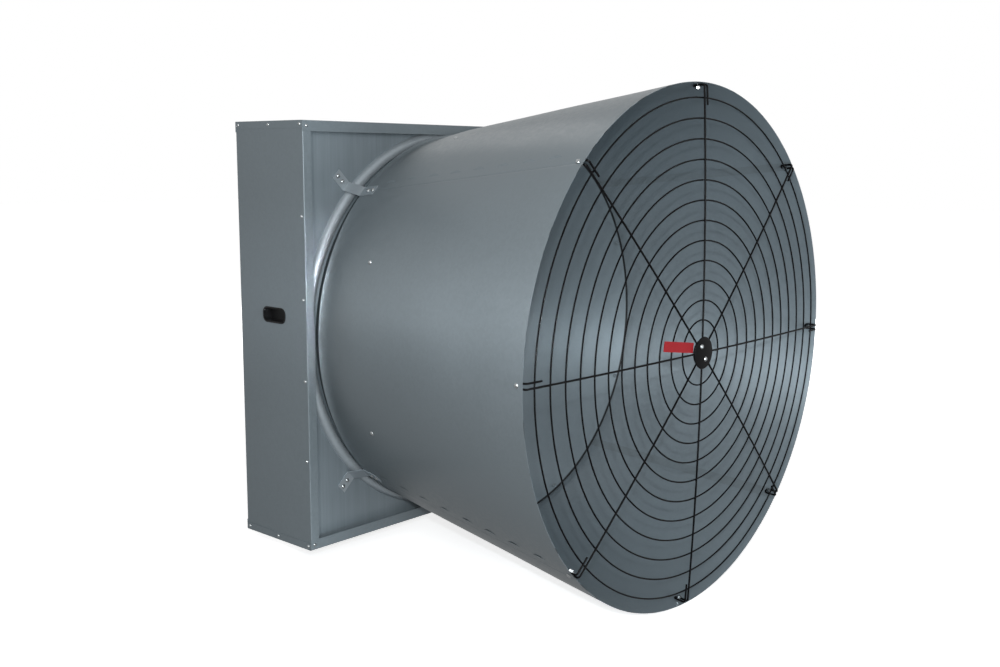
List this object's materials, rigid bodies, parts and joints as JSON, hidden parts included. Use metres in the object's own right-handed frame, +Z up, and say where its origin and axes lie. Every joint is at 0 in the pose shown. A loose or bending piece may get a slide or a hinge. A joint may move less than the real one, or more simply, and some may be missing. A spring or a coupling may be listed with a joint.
{
  "type": "cone fan",
  "caption": "Wall-mounted belt-driven exhaust fan: square galvanised housing with a flared discharge cone, domed wire guard, hand holes and an inlet guard.",
  "frame": {"origin": "centre of the four wall bolts, in the plane of the rear lips", "axes": "+Y out of the wall side towards the inlet, so the air leaves along -Y; +Z up; +X to the right seen from the discharge side"},
  "size_m": [1.604, 1.3803, 1.604],
  "materials": {
    "galvanised_sheet": "satin galvanised",
    "zinc_fasteners": "bright zinc plate",
    "black_wire": "black powder coat",
    "galvanised_wire": "galvanised",
    "black_plastic": "moulded matte",
    "red_plastic": "satin moulded",
    "cast_iron": "as cast, oiled",
    "bright_steel": "turned and ground",
    "motor_paint": "satin enamel",
    "belt_rubber": "cloth-wrapped rubber"
  },
  "bodies": {
    "housing": {"beam_bolts": "zinc_fasteners", "beam_left": "galvanised_sheet", "beam_right": "galvanised_sheet", "bearing_block": "cast_iron", "bearing_bolts": "zinc_fasteners", "bearing_front": "bright_steel", "bearing_rear": "bright_steel", "cable_gland": "black_plastic", "cone_clip_1": "galvanised_sheet", "cone_clip_2": "galvanised_sheet", "cone_clip_3": "galvanised_sheet", "cone_clip_4": "galvanised_sheet", "cone_clip_bolts": "zinc_fasteners", "cone_neck_bolts": "zinc_fasteners", "cone_neck_sleeves": "zinc_fasteners", "cone_panel_bottom": "galvanised_sheet", "cone_panel_left": "galvanised_sheet", "cone_panel_right": "galvanised_sheet", "cone_panel_top": "galvanised_sheet", "drive_belt": "belt_rubber", "guard_badge": "red_plastic", "guard_bolts": "zinc_fasteners", "guard_hub_back": "black_wire", "guard_hub_bolts": "zinc_fasteners", "guard_hub_front": "black_wire", "guard_rings": "black_wire", "guard_spokes": "black_wire", "hand_grip_left": "black_plastic", "hand_grip_right": "black_plastic", "housing_bottom_cap": "galvanised_sheet", "housing_left_side": "galvanised_sheet", "housing_right_side": "galvanised_sheet", "housing_screws": "zinc_fasteners", "housing_top_cap": "galvanised_sheet", "inlet_guard_frame": "galvanised_wire", "inlet_guard_wires": "galvanised_wire", "motor_bolts": "zinc_fasteners", "motor_end_shield": "motor_paint", "motor_fan_cowl": "black_plastic", "motor_frame": "motor_paint", "motor_stand": "galvanised_sheet", "orifice_panel": "galvanised_sheet", "orifice_ring": "galvanised_sheet", "tensioner_base": "galvanised_sheet", "tensioner_pin": "zinc_fasteners", "terminal_box": "black_plastic"},
    "propeller": {"fan_shaft": "bright_steel", "shaft_nuts": "zinc_fasteners", "fan_pulley": "cast_iron", "propeller_hub": "galvanised_sheet", "propeller_blade_1": "galvanised_sheet", "propeller_blade_2": "galvanised_sheet", "propeller_blade_3": "galvanised_sheet", "propeller_bolts": "zinc_fasteners"},
    "motor_rotor": {"motor_shaft": "bright_steel", "motor_pulley": "cast_iron"},
    "tensioner_arm": {"tensioner_arm": "galvanised_sheet", "idler_bolt": "zinc_fasteners"},
    "idler": {"idler_pulley": "black_plastic"}
  },
  "joints": [
    {"name": "propeller_spin", "type": "hinge", "parent": "housing", "child": "propeller", "pos_m": [0, -0.09, 0], "axis": [0, 1, 0], "continuous": true},
    {"name": "motor_spin", "type": "hinge", "parent": "housing", "child": "motor_rotor", "pos_m": [0.545, -0.06, -0.545], "axis": [0, 1, 0], "continuous": true},
    {"name": "tensioner_swing", "type": "hinge", "parent": "housing", "child": "tensioner_arm", "pos_m": [0.11, -0.06, -0.33823], "axis": [0, 1, 0], "range_deg": [0, 20], "stiffness_Nm_per_rad": 40, "springref_deg": -17.19},
    {"name": "idler_spin", "type": "hinge", "parent": "tensioner_arm", "child": "idler", "pos_m": [0.2002, -0.04, -0.40118], "axis": [0, 1, 0], "continuous": true}
  ],
  "couplings": [
    {"joint": "motor_spin", "follows": "propeller_spin", "ratio": 3.3077},
    {"joint": "idler_spin", "follows": "propeller_spin", "ratio": -4.7311}
  ]
}
